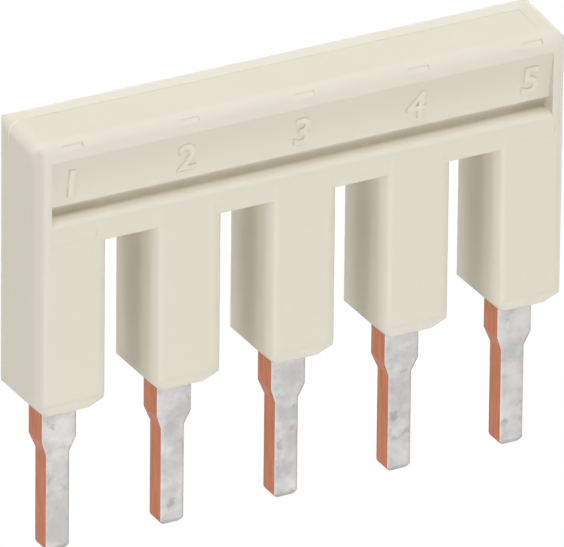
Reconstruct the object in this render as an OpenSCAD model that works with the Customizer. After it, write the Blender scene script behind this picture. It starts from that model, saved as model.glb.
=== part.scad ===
// Plug-in comb jumper for DIN-rail terminal blocks.
// A moulded plastic housing with one leg per pole carries a stamped metal comb,
// whose pins plug into neighbouring blocks and join them electrically.
// X runs along the row of poles, Y from front to back, Z up.
// The origin is the middle of the row, on the plane of the leg ends.

/* [Row] */
// Number of poles that the jumper joins
poles = 5; // [2:1:10]
// Distance from pole to pole
pitch = 5.2; // [4.8:0.1:8]

/* [Housing] */
// Depth of the housing, front to back
body_d = 3.5; // [3.4:0.05:5]
// Height of the head, from the roof of the gaps to the top of its back edge
head_h = 4.87; // [4.7:0.01:6]
// Fall of the top from its back edge to its front edge
top_fall = 0.22; // [0.1:0.02:0.4]
// Radius of the housing's outer edges
edge_r = 0.55; // [0.3:0.05:0.6]
// Width of a leg
leg_w = 3.3; // [2.8:0.1:4]
// Length of a leg, from the roof of the gaps to its end
leg_len = 7.6; // [5:0.1:10]
// Height of the bevel round the end of a leg
toe_h = 0.68; // [0.4:0.02:1.2]
// Run of that bevel on the sides of a leg
toe_side = 0.7; // [0.3:0.05:0.85]
// Run of that bevel on the front and back of a leg
toe_face = 0.48; // [0.2:0.02:0.8]
// Height of the band over the gaps, which leans in toward their roof
band_h = 0.7; // [0.5:0.05:0.85]
// Amount by which the band leans in
band_sink = 0.04; // [0.02:0.01:0.1]

/* [Pry groove and panel] */
// Width of the frame left standing at each end of the panel
frame_w = 0.7; // [0.6:0.05:1.2]
// Height of the groove's floor above the roof of the gaps
lip_z = 1.17; // [1.15:0.01:1.3]
// Radius of the lip under the groove
lip_r = 0.25; // [0.15:0.05:0.3]
// Height of the groove's mouth
groove_h = 0.57; // [0.4:0.01:0.65]
// Depth of the groove at its floor, from the face of the housing
groove_depth = 0.8; // [0.75:0.05:0.9]
// Amount by which the panel's lower edge overhangs the groove
groove_over = 0.25; // [0.1:0.05:0.25]
// Height of the panel over the groove, which runs out at the face
panel_h = 2.15; // [1.6:0.05:2.2]
// Depth of the panel at its lower edge
panel_depth = 0.38; // [0.2:0.02:0.46]

/* [Top] */
// Depth of the marker field at its back wall, from which it runs out to the front
field_sink = 0.02; // [0.02:0.01:0.1]
// Width of the rim left at each end of the field
field_end = 1; // [0.9:0.05:1.2]
// Width of the rim left along the back of the field
field_back = 1; // [0.8:0.05:1.2]
// Width of the pole notch in the rounded front edge
notch_w = 0.95; // [0.5:0.05:1.2]
// Distance of the notch's back wall from the front face
notch_d = 0.18; // [0.14:0.01:0.22]
// Height of the notch's back wall
notch_h = 0.07; // [0.06:0.01:0.12]

/* [End legs] */
// Width of the ledge across the front of the two end legs
ledge_w = 2.1; // [1:0.05:2.2]
// Height of the ledge's front edge above the roof of the gaps
ledge_z = 0.1; // [0.05:0.05:0.15]
// Height over which the ledge slopes back to the band
ledge_h = 0.2; // [0.1:0.05:0.25]

/* [Comb] */
// Thickness of the metal strip
strip_t = 1.15; // [1:0.05:1.5]
// Width of a tine, through its leg and down to the neck
tine_w = 1.55; // [1.2:0.05:1.6]
// Height of the bus bar inside the head
bus_h = 2.2; // [1.4:0.1:2.4]
// Height of the bus bar above the roof of the gaps
bus_z = 1.4; // [1.1:0.1:1.6]
// Length of a pin, from the end of its leg to its tip
pin_len = 6.6; // [4:0.05:10]
// Distance from the end of the leg to the start of the neck
neck_z = 1.55; // [1:0.05:2.5]
// Height of the neck, over which the tine narrows on all four sides
neck_h = 0.65; // [0.3:0.05:1.2]
// Width of the pin below its neck
pin_w = 1.05; // [0.8:0.05:1.2]
// Thickness of the pin below its neck
pin_t = 0.93; // [0.8:0.01:1]
// Radius of the tip's corners, seen from the front
tip_r = 0.25; // [0.1:0.01:0.4]
// Run of the tip's bevel on the front and back
tip_run = 0.1; // [0.05:0.01:0.3]
// Height of the tip's bevel on the front and back
tip_h = 0.2; // [0.1:0.05:0.5]

/* [Hidden] */
$fn = 64;
ivory = [0.87, 0.855, 0.79];
tinned = [0.76, 0.75, 0.745];
// Amount by which a cutter runs past the face that it opens
past = 1;
row_l = (poles - 1) * pitch;
body_l = row_l + leg_w;
roof_z = leg_len;
top_z = roof_z + head_h;
band_z = roof_z + band_h;
bus_top = roof_z + bus_z + bus_h;
face_y = body_d / 2;
// Place of the front and back edges' rounding, before and behind the middle of the top
edge_y = face_y - edge_r;
top_tilt = atan(top_fall / (2 * edge_y));
edge_mid_z = top_z - edge_r - top_fall / 2;

// X of a pole, counted from 0 at the left
function pole_x(i) = i * pitch - row_l / 2;

// Children copied to every pole, or to the poles given
module at_poles(which = [0:poles - 1]) {
    for (i = which)
        translate([pole_x(i), 0, 0])
            children();
}

// Outline drawn in X and Z, given its thickness along Y about the middle
module along_y(t) {
    rotate([90, 0, 0])
        linear_extrude(t, center = true)
            children();
}

// Outline drawn in Y and Z, given its length along X about the middle
module along_x(l) {
    rotate([90, 0, 90])
        linear_extrude(l, center = true)
            children();
}

// Rectangle about the origin with four true round corners
module round_rect(l, d, r) {
    square([l - 2 * r, d], center = true);
    square([l, d - 2 * r], center = true);
    for (x = [-1, 1], y = [-1, 1])
        translate([x * (l / 2 - r), y * (d / 2 - r)])
            circle(r);
}

// Rectangle standing on the X axis with its two upper corners rounded
module arch(l, h, r) {
    translate([-l / 2, 0])
        square([l, h - r]);
    translate([r - l / 2, 0])
        square([l - 2 * r, h]);
    for (x = [-1, 1])
        translate([x * (l / 2 - r), h - r])
            circle(r);
}

// Children set on the tilted top: their height edge_r lies in its plane
module on_top() {
    translate([0, 0, edge_mid_z])
        rotate([top_tilt, 0, 0])
            children();
}

// Side outline of the head, with its falling top and two rounded edges
module head_section() {
    edge_run = edge_y / cos(top_tilt);
    polygon([
        [-face_y, band_z],
        [face_y, band_z],
        [face_y, edge_mid_z + top_fall / 2],
        [-face_y, edge_mid_z - top_fall / 2]
    ]);
    translate([0, edge_mid_z])
        rotate(top_tilt) {
            translate([-edge_run, 0])
                square([2 * edge_run, edge_r]);
            for (side = [-1, 1])
                translate([side * edge_run, 0])
                    circle(edge_r);
        }
}

// Head: a bar with its upright and upper edges rounded, over a band that leans in
module head() {
    intersection() {
        translate([0, 0, band_z])
            linear_extrude(head_h)
                round_rect(body_l, body_d, edge_r);
        on_top()
            translate([0, 0, edge_r - head_h])
                along_y(2 * body_d)
                    arch(body_l, head_h, edge_r);
        along_x(body_l)
            head_section();
    }
    along_x(row_l)
        polygon([
            [band_sink - face_y, roof_z],
            [face_y - band_sink, roof_z],
            [face_y, band_z],
            [-face_y, band_z]
        ]);
}

// Outline of a leg end: a flat of the given half width, opening upward at the bevel's slope
module toe(half, run) {
    slope_z = toe_h * (1 + past / run);
    polygon([
        [run - half, 0],
        [half - run, 0],
        [half + past, slope_z],
        [half + past, slope_z + band_z],
        [-half - past, slope_z + band_z],
        [-half - past, slope_z]
    ]);
}

// Leg: a round-edged column up to the lip, with its end bevelled on all four sides
module leg() {
    intersection() {
        linear_extrude(band_z)
            round_rect(leg_w, body_d, edge_r);
        along_y(body_d + past)
            toe(leg_w / 2, toe_side);
        along_x(leg_w + past)
            toe(face_y, toe_face);
    }
}

// Section of the panel and pry groove in the front face, cut from y = -face_y inward
module groove_section() {
    floor_z = roof_z + lip_z;
    mouth_z = floor_z + groove_h;
    difference() {
        polygon([
            [-past, mouth_z + panel_h * (1 + past / panel_depth)],
            [panel_depth, mouth_z],
            [panel_depth + groove_over, mouth_z],
            [groove_depth, floor_z],
            [lip_r, floor_z],
            [lip_r, floor_z - lip_r],
            [-past, floor_z - lip_r]
        ]);
        translate([lip_r, floor_z - lip_r])
            circle(lip_r);
    }
}

// Panel and pry groove between the end frames, on the front face
module pry_groove() {
    translate([0, -face_y, 0])
        along_x(body_l - 2 * frame_w)
            groove_section();
}

// Marker field in the top, deepest at its back wall
module top_field() {
    wall_y = face_y - field_back;
    on_top()
        along_x(body_l - 2 * field_end)
            polygon([
                [wall_y, edge_r - field_sink],
                [wall_y, edge_r + field_sink],
                [-2 * edge_y - wall_y, edge_r + field_sink]
            ]);
}

// Notch with a sloping floor in the rounded front edge, marking a pole
module pole_notch() {
    reach = edge_r - notch_d;
    edge_z = edge_mid_z - top_fall / 2 + sqrt(edge_r * edge_r - reach * reach);
    wall_z = edge_z - notch_h;
    along_x(notch_w)
        polygon([
            [notch_d - face_y, wall_z],
            [notch_d - face_y, wall_z + past],
            [-past - face_y, wall_z + past],
            [-past - face_y, wall_z - notch_d - past]
        ]);
}

// Dip over an end leg, where the band runs on across the leg down to a ledge
module end_ledge() {
    foot_z = roof_z + ledge_z;
    lean = band_sink / (band_z - roof_z);
    dip = lean * (band_z - foot_z - ledge_h);
    translate([0, -face_y, 0])
        along_x(ledge_w)
            polygon([
                [dip, foot_z + ledge_h],
                [-past, foot_z - past * ledge_h / dip],
                [-past, band_z + past / lean]
            ]);
}

// Housing: one ivory moulding, formed round the comb
module housing() {
    color(ivory)
        difference() {
            union() {
                head();
                at_poles()
                    leg();
            }
            for (side = [0, 1])
                mirror([0, side, 0])
                    pry_groove();
            top_field();
            at_poles()
                pole_notch();
            at_poles([0, poles - 1])
                end_ledge();
            comb_solid();
        }
}

// Stamped outline of one tine and its pin, seen from the front, tip downward
module tine_outline() {
    pin_z = -neck_z - neck_h;
    polygon([
        [-tine_w / 2, bus_top],
        [-tine_w / 2, -neck_z],
        [-pin_w / 2, pin_z],
        [-pin_w / 2, tip_r - pin_len],
        [pin_w / 2, tip_r - pin_len],
        [pin_w / 2, pin_z],
        [tine_w / 2, -neck_z],
        [tine_w / 2, bus_top]
    ]);
    translate([0, pin_z])
        mirror([0, 1])
            arch(pin_w, pin_len + pin_z, tip_r);
}

// Side outline of the strip, thinned below the neck and bevelled at the tip
module strip_section() {
    polygon([
        [-strip_t / 2, bus_top],
        [-strip_t / 2, -neck_z],
        [-pin_t / 2, -neck_z - neck_h],
        [-pin_t / 2, tip_h - pin_len],
        [tip_run - pin_t / 2, -pin_len],
        [pin_t / 2 - tip_run, -pin_len],
        [pin_t / 2, tip_h - pin_len],
        [pin_t / 2, -neck_z - neck_h],
        [strip_t / 2, -neck_z],
        [strip_t / 2, bus_top]
    ]);
}

// Solid of the comb: the stamped outline, kept to the coined section
module comb_solid() {
    bus_l = row_l + tine_w;
    intersection() {
        along_y(strip_t)
            union() {
                translate([-bus_l / 2, roof_z + bus_z])
                    square([bus_l, bus_h]);
                for (i = [0:poles - 1])
                    translate([pole_x(i), 0])
                        tine_outline();
            }
        along_x(bus_l)
            strip_section();
    }
}

// Contact comb: bus bar, tines and pins stamped as one from tinned copper strip
module contact_comb() {
    color(tinned)
        comb_solid();
}

housing();
contact_comb();
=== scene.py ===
import math

import bmesh
import bpy
from mathutils import Matrix, Vector


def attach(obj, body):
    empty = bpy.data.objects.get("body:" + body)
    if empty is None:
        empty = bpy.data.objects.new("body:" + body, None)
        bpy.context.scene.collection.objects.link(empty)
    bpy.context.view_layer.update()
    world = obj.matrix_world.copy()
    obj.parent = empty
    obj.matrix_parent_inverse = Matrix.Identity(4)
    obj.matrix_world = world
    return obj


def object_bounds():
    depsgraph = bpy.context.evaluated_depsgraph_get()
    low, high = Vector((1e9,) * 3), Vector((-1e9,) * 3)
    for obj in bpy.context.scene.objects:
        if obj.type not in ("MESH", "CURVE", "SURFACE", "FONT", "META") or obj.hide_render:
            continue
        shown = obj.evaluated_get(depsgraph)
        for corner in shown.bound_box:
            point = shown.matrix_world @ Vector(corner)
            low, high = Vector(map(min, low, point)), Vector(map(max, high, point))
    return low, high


# Frame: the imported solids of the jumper, and their box before anything is dressed.
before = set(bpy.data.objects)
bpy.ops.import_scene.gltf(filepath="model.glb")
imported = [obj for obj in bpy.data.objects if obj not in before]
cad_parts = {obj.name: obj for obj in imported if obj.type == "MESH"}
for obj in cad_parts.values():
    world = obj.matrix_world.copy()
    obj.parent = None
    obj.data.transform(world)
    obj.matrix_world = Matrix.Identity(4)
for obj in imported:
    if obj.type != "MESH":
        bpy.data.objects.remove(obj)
cad_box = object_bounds()


# Housing: one injection moulding of ivory-grey polyamide, formed round the comb in a
# spark-eroded mould, so its faces are satin with a fine even grain. Its edges are slightly
# broken, more so at the leg ends and head corners. Its colour holds painted highlights on
# its edges, rims and lip, painted light on the field's back step and painted shade on the
# panel.
class Shade:
    """A socket of a material, for Python expressions that add the nodes they need."""

    def __init__(self, tree, socket=None):
        self.tree = tree
        self.socket = socket

    def node(self, kind, out=None, settings=None, **inputs):
        """Adds a node, with its settings first, then its sockets by identifier."""
        made = self.tree.nodes.new(kind)
        for name, value in (settings or {}).items():
            setattr(made, name, value)
        by_name = {s.identifier: s for s in made.inputs}
        for name, value in inputs.items():
            self.feed(by_name[name], value)
        if out is None:
            return Shade(self.tree, made.outputs[0])
        return Shade(self.tree, next(s for s in made.outputs if s.identifier == out))

    def feed(self, socket, value):
        """Links a shade to a socket, or sets a plain value on it."""
        if isinstance(value, Shade):
            self.tree.links.new(value.socket, socket)
        else:
            socket.default_value = value

    def math(self, operation, first, second=0.0):
        """One step of arithmetic on shades or plain numbers."""
        settings = {"operation": operation}
        return self.node("ShaderNodeMath", None, settings, Value=first, Value_001=second)

    def __add__(self, other):
        return self.math("ADD", self, other)

    __radd__ = __add__

    def __sub__(self, other):
        return self.math("SUBTRACT", self, other)

    def __rsub__(self, other):
        return self.math("SUBTRACT", other, self)

    def __mul__(self, other):
        return self.math("MULTIPLY", self, other)

    __rmul__ = __mul__

    def __abs__(self):
        return self.math("ABSOLUTE", self)

    def between(self, low, high):
        """0 below low, 1 above high, and smooth in between."""
        settings = {"interpolation_type": "SMOOTHSTEP"}
        ends = {"From Min": low, "From Max": high}
        return self.node("ShaderNodeMapRange", "Result", settings, Value=self, **ends)

    def mix(self, low, high):
        """Colour low where this is 0 and high where it is 1."""
        sockets = {"Factor_Float": self, "A_Color": low, "B_Color": high}
        settings = {"data_type": "RGBA", "clamp_factor": True}
        return self.node("ShaderNodeMix", "Result_Color", settings, **sockets)

    def axis(self, letter):
        """One of the three numbers of a place or a direction."""
        return self.node("ShaderNodeSeparateXYZ", letter, None, Vector=self)

    def scaled(self, scale):
        """A place with each of its three numbers times its own factor."""
        return self.node("ShaderNodeMapping", None, None, Vector=self, Scale=scale)

    def noise(self, scale, detail, roughness=0.5):
        """Noise from 0 to 1 at a place, with its scale in cells per unit of that place."""
        sockets = {"Scale": scale, "Detail": detail, "Roughness": roughness}
        return self.node("ShaderNodeTexNoise", "Fac", None, Vector=self, **sockets)

    def place_mm(self):
        """Where a point of the piece is, in millimetres."""
        return self.node("ShaderNodeTexCoord", "Object").scaled((1000.0, 1000.0, 1000.0))

    def face_normal(self):
        """The direction that the solid's own face looks in."""
        return self.node("ShaderNodeNewGeometry", "Normal")

    def broken_edge(self, radius):
        """The face's direction, turned near its edges as if they were rounded."""
        return self.node("ShaderNodeBevel", "Normal", {"samples": 8}, Radius=radius)

    def turn(self):
        """How far a direction is turned from the face's own: 0 is not at all."""
        ends = {"Vector": self, "Vector_001": self.face_normal()}
        alike = self.node("ShaderNodeVectorMath", "Value", {"operation": "DOT_PRODUCT"}, **ends)
        return 1.0 - alike


def finish_of(name):
    """A new material, its shades and its Principled shader."""
    material = bpy.data.materials.new(name)
    material.use_nodes = True
    shader = material.node_tree.nodes["Principled BSDF"]
    return material, Shade(material.node_tree), shader


def dress(piece, material):
    """Gives a piece one finish all over."""
    piece.data.materials.clear()
    piece.data.materials.append(material)


EDGE_R = 0.000045
TOP_EDGE_R = 0.000015
ROUND_EDGE_R = 0.000375
STEP_EDGE_R = 0.000005
FACE_Y_MM = 1.75
PANEL_TOP_MM = 11.49
PANEL_SLOPE = 0.38 / 2.15
IVORY = (0.768, 0.730, 0.607, 1)
IVORY_PALE = (0.793, 0.755, 0.634, 1)
IVORY_GRAIN = (0.748, 0.707, 0.587, 1)
IVORY_PANEL_SHADE = (0.714, 0.677, 0.561, 1)
IVORY_RIM_HIGHLIGHT = (0.86, 0.828, 0.712, 1)
IVORY_STEP_PAINTED_LIGHT = (0.97, 0.94, 0.84, 1)
IVORY_EDGE_HIGHLIGHT = (0.88, 0.85, 0.745, 1)
GRAIN_SHARE = 0.35
RIM_HIGHLIGHT_SHARE = 0.57
EDGE_HIGHLIGHT_SHARE = 0.8
SATIN = 0.38
PLASTIC_IOR = 1.53
moulded_ivory, s, shader = finish_of("moulded_ivory")
place_mm = s.place_mm()
from_middle_mm = abs(place_mm.axis("X"))
depth_mm = place_mm.axis("Y")
from_axis_mm = abs(depth_mm)
height_mm = place_mm.axis("Z")
facing_up = s.face_normal().axis("Z")
flat_top = facing_up.between(0.93, 0.98)

# Regions of the moulding: the numbers are places in millimetres, where each fades in or out.
leg_end = 1.0 - height_mm.between(0.9, 1.7)
head_corner = from_middle_mm.between(11.15, 11.5) * height_mm.between(11.2, 11.6)
well_rounded = s.math("MAXIMUM", leg_end, head_corner)
on_top = height_mm.between(11.4, 11.6)
rim_wall = depth_mm.between(0.66, 0.69) * (1.0 - depth_mm.between(0.705, 0.73))
rim_step = on_top * rim_wall * (1.0 - flat_top)
# Painted highlights: lighter bands along the back rim, the front rounding and the groove's lip.
back_rim_highlight = on_top * depth_mm.between(0.66, 0.72) * (1.0 - from_middle_mm.between(10.8, 11.9))
front_rim_highlight = height_mm.between(11.48, 11.6) * (1.0 - depth_mm.between(-1.45, -1.1))
between_frames = 1.0 - from_middle_mm.between(11.33, 11.36)
lip_band = height_mm.between(8.5, 8.68) * (1.0 - height_mm.between(8.78, 8.8))
lip_highlight = lip_band * between_frames * from_axis_mm.between(0.95, 1.3)
# Painted shade: the sloping panel is darker, most of all toward its top, but not the raised
# figures.
panel_band = height_mm.between(9.2, 11.3) * (1.0 - height_mm.between(11.46, 11.5))
panel_y_mm = FACE_Y_MM - (PANEL_TOP_MM - height_mm) * PANEL_SLOPE
raised = (from_axis_mm - panel_y_mm).between(0.01, 0.04)
panel_shade = panel_band * between_frames * (1.0 - raised)

# Finish of the moulding: first its edges, then its colour from the mould, then painted shade,
# painted highlights and painted light.
edge_r = EDGE_R + flat_top * (TOP_EDGE_R - EDGE_R) + well_rounded * (ROUND_EDGE_R - EDGE_R)
broken_edge = s.broken_edge(edge_r + rim_step * (STEP_EDGE_R - EDGE_R))
on_edge = broken_edge.turn().between(0.01, 0.16) * (1.0 - well_rounded)
flow = place_mm.noise(scale=0.35, detail=3.0)
grain = place_mm.noise(scale=18.0, detail=2.0, roughness=0.6)
moulded = flow.mix(IVORY, IVORY_PALE)
grained = (grain.between(0.35, 0.7) * GRAIN_SHARE).mix(moulded, IVORY_GRAIN)
# Painted shade on the sloping panel.
panel_shaded = panel_shade.mix(grained, IVORY_PANEL_SHADE)
# Painted highlights on the rims and the lip.
rim_highlights = s.math("MAXIMUM", (back_rim_highlight + front_rim_highlight) * RIM_HIGHLIGHT_SHARE, lip_highlight) * facing_up.between(-0.6, 0.6)
highlighted_rims = rim_highlights.mix(panel_shaded, IVORY_RIM_HIGHLIGHT)
# Painted light: the small back step of the top field is made lighter so its shade fades.
step_painted_light = rim_step.mix(highlighted_rims, IVORY_STEP_PAINTED_LIGHT)
# Painted highlight: a lighter colour where the broken edges turn.
s.feed(shader.inputs["Base Color"], (on_edge * EDGE_HIGHLIGHT_SHARE).mix(step_painted_light, IVORY_EDGE_HIGHLIGHT))
s.feed(shader.inputs["Roughness"], SATIN + grain * 0.12 - on_edge * 0.06)
moulded_skin = s.node(
    "ShaderNodeBump", None, None,
    Strength=0.25, Distance=0.000006, Height=grain, Normal=broken_edge,
)
s.feed(shader.inputs["Normal"], moulded_skin)
shader.inputs["IOR"].default_value = PLASTIC_IOR
dress(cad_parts["housing"], moulded_ivory)


# Contact comb: stamped from copper strip that was tinned on both faces before the
# stamping, so the front and back are dull mottled tin and the cut sides are bare copper.
# Bus bar, tines and pins are one piece, held in the moulding.
STRIP_EDGE_R = 0.00014
TIN = (0.345, 0.337, 0.333, 1)
TIN_PALE = (0.47, 0.46, 0.452, 1)
TIN_SMUDGED = (0.25, 0.243, 0.237, 1)
TIN_EDGE_HIGHLIGHT = (0.6, 0.57, 0.545, 1)
COPPER = (0.435, 0.163, 0.084, 1)
COPPER_PALE = (0.51, 0.203, 0.112, 1)
SMUDGE_SHARE = 0.6
TIN_EDGE_HIGHLIGHT_SHARE = 0.5
DULL_METAL = 0.48
tinned_copper, s, shader = finish_of("tinned_copper")
place_mm = s.place_mm()
is_tin = abs(s.node("ShaderNodeTexCoord", "Normal").axis("Y")).between(0.55, 0.7)
cloud = place_mm.noise(scale=0.9, detail=4.0, roughness=0.6)
smudge = place_mm.noise(scale=1.7, detail=3.0, roughness=0.55).between(0.56, 0.75)
scratch = place_mm.scaled((9.0, 9.0, 0.8)).noise(scale=1.0, detail=3.0, roughness=0.6)
shear_lines = place_mm.scaled((1.0, 7.0, 0.7)).noise(scale=1.0, detail=2.0)
tin = cloud.between(0.3, 0.7).mix(TIN, TIN_PALE)
tin_worn = (smudge * SMUDGE_SHARE).mix(tin, TIN_SMUDGED)
copper = shear_lines.between(0.3, 0.7).mix(COPPER, COPPER_PALE)
rounded = s.broken_edge(STRIP_EDGE_R)
# Painted highlight: the tin is lighter along its rounded edges.
tin_edge_highlight = rounded.turn().between(0.02, 0.2) * is_tin
bare = is_tin.mix(copper, tin_worn)
s.feed(shader.inputs["Base Color"], (tin_edge_highlight * TIN_EDGE_HIGHLIGHT_SHARE).mix(bare, TIN_EDGE_HIGHLIGHT))
s.feed(shader.inputs["Roughness"], DULL_METAL + scratch * 0.12 + smudge * 0.1)
shader.inputs["Metallic"].default_value = 1.0
relief = is_tin * (scratch + cloud) + (1.0 - is_tin) * shear_lines
metal_skin = s.node(
    "ShaderNodeBump", None, None,
    Strength=0.3, Distance=0.00001, Height=relief, Normal=rounded,
)
s.feed(shader.inputs["Normal"], metal_skin)
dress(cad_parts["contact_comb"], tinned_copper)


# Pole numbers: plain raised figures with rounded sides, of the same moulding,
# cut into the mould, one over each leg on the sloping panel of the front.
POLES = 5
PITCH = 0.0052
FIGURE_H = 0.00122
FIGURE_H_PER_SIZE = 0.69
FIGURE_RELIEF = 0.00002
FIGURE_ROUND = 0.00007
FIGURE_BOLD = -0.00002
PANEL_MIDDLE = (-0.001535, 0.0103)
SAME_PLACE = 1e-7
upright = Matrix.Rotation(math.pi / 2 + math.atan(PANEL_SLOPE), 4, "X")
joined = bmesh.new()
for pole in range(POLES):
    figure = bpy.data.curves.new(f"figure_{pole + 1}", "FONT")
    figure.body = str(pole + 1)
    figure.size = FIGURE_H / FIGURE_H_PER_SIZE
    figure.align_x = "CENTER"
    figure.align_y = "CENTER"
    figure.extrude = FIGURE_RELIEF
    figure.bevel_depth = FIGURE_ROUND
    figure.bevel_resolution = 2
    figure.offset = FIGURE_BOLD
    figure.resolution_u = 6
    raw = bpy.data.objects.new(figure.name, figure)
    mesh = bpy.data.meshes.new_from_object(raw)
    bpy.data.objects.remove(raw)
    at = Vector(((pole - (POLES - 1) / 2) * PITCH, *PANEL_MIDDLE))
    mesh.transform(Matrix.Translation(at) @ upright)
    joined.from_mesh(mesh)
    bpy.data.meshes.remove(mesh)
bmesh.ops.remove_doubles(joined, verts=joined.verts[:], dist=SAME_PLACE)
bmesh.ops.recalc_face_normals(joined, faces=joined.faces[:])
numbers_mesh = bpy.data.meshes.new("pole_numbers")
joined.to_mesh(numbers_mesh)
joined.free()
pole_numbers = bpy.data.objects.new("pole_numbers", numbers_mesh)
bpy.context.scene.collection.objects.link(pole_numbers)
dress(pole_numbers, moulded_ivory)
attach(pole_numbers, "root")


# Floor: a plain pale table top, well below the pins.
# It looks white from the camera and in the metal, and keeps a faint shadow.
FLOOR_HALF = 2.0
FLOOR_BELOW = 0.2
FLOOR_GLOW = 1.1
FLOOR_WHITE_SHARE = 0.85
WHITE = (1.0, 1.0, 1.0, 1.0)


def in_view(s):
    """1 for a ray that shows the surroundings, and 0 for one that lights the part."""
    kinds = ("Is Camera Ray", "Is Glossy Ray", "Is Transmission Ray")
    rays = [s.node("ShaderNodeLightPath", kind) for kind in kinds]
    return s.math("MINIMUM", rays[0] + rays[1] + rays[2], 1.0)


floor_mesh = bpy.data.meshes.new("floor")
floor_z = cad_box[0].z - FLOOR_BELOW
corners = [(-1, -1), (1, -1), (1, 1), (-1, 1)]
floor_points = [(x * FLOOR_HALF, y * FLOOR_HALF, floor_z) for x, y in corners]
floor_mesh.from_pydata(floor_points, [], [(0, 1, 2, 3)])
floor = bpy.data.objects.new("floor", floor_mesh)
bpy.context.scene.collection.objects.link(floor)
pale_top, s, shader = finish_of("pale_table_top")
shader.inputs["Base Color"].default_value = (0.7, 0.7, 0.7, 1)
shader.inputs["Roughness"].default_value = 0.9
shader.inputs["Specular IOR Level"].default_value = 0.0
white = s.node("ShaderNodeEmission", None, None, Color=WHITE, Strength=FLOOR_GLOW)
lit = Shade(s.tree, shader.outputs["BSDF"])
share = in_view(s) * FLOOR_WHITE_SHARE
top = s.node("ShaderNodeMixShader", None, None, Fac=share, Shader=lit, Shader_001=white)
s.feed(s.tree.nodes["Material Output"].inputs["Surface"], top)
dress(floor, pale_top)


# Room: walls that look white from the camera and in the metal.
# On the part they give a weak light that grows toward the back.
ROOM_LIGHT = 0.45
room = bpy.data.worlds.new("white_room")
bpy.context.scene.world = room
room.use_nodes = True
s = Shade(room.node_tree)
behind = s.node("ShaderNodeTexCoord", "Generated").axis("Y").between(-0.7, 0.9)
lit = s.node("ShaderNodeBackground", None, None, Color=WHITE, Strength=behind * ROOM_LIGHT)
white = s.node("ShaderNodeBackground", None, None, Color=WHITE, Strength=1.0)
walls = s.node("ShaderNodeMixShader", None, None, Fac=in_view(s), Shader=lit, Shader_001=white)
s.feed(s.tree.nodes["World Output"].inputs["Surface"], walls)


# Lamps: a key box in front and above, one low in front, one overhead, a weak one behind,
# and small ones at the front and rear of both sides.
def soft_box(name, toward, distance, size, share):
    """A square lamp that faces the part. A share of 1 lights a facing surface fully."""
    light = bpy.data.lights.new(name, "AREA")
    light.size = size
    light.energy = share * (math.pi * distance) ** 2
    lamp = bpy.data.objects.new(name, light)
    toward = Vector(toward).normalized()
    turn = toward.to_track_quat("Z", "Y").to_matrix().to_4x4()
    lamp.matrix_world = Matrix.Translation(toward * distance) @ turn
    bpy.context.scene.collection.objects.link(lamp)


soft_box("key_box", (0.0, -0.567, 0.824), distance=0.5, size=0.4, share=0.36)
soft_box("low_box", (0.0, -0.819, -0.574), distance=0.28, size=0.14, share=0.43)
soft_box("top_box", (0.0, 0.0, 1.0), distance=0.6, size=0.5, share=0.525)
soft_box("back_box", (0.0, 0.94, 0.342), distance=0.6, size=0.3, share=0.12)
soft_box("front_left_box", (-0.93, -0.375, 0.1), distance=0.6, size=0.14, share=0.185)
soft_box("front_right_box", (0.862, -0.498, 0.1), distance=0.6, size=0.14, share=0.2)
soft_box("rear_left_box", (-0.9, 0.43, 0.1), distance=0.6, size=0.2, share=0.165)
soft_box("rear_right_box", (0.9, 0.43, 0.1), distance=0.6, size=0.2, share=0.165)
bpy.context.scene.view_settings.view_transform = "Standard"


# Camera: a long lens from the left, a little above, level but for half a degree.
IMAGE_W = 564
AZIMUTH = math.radians(-28.210)
ELEVATION = math.radians(26.595)
ROLL = math.radians(0.607)
DISTANCE = 0.6455
PIXELS_PER_METRE = 24822.0
AIM = Vector((0.00009, 0.0002, 0.00319))
camera = bpy.data.cameras.new("camera")
camera.sensor_width = 36.0
camera.lens = PIXELS_PER_METRE * DISTANCE * camera.sensor_width / IMAGE_W
camera.clip_start = 0.01
camera_object = bpy.data.objects.new("camera", camera)
back = Vector((
    math.sin(AZIMUTH) * math.cos(ELEVATION),
    -math.cos(AZIMUTH) * math.cos(ELEVATION),
    math.sin(ELEVATION),
))
level = Vector((math.cos(AZIMUTH), math.sin(AZIMUTH), 0))
upward = back.cross(level)
right = math.cos(ROLL) * level + math.sin(ROLL) * upward
above = back.cross(right)
turn = Matrix((right, above, back)).transposed().to_4x4()
camera_object.matrix_world = Matrix.Translation(AIM + back * DISTANCE) @ turn
bpy.context.scene.collection.objects.link(camera_object)
bpy.context.scene.camera = camera_object
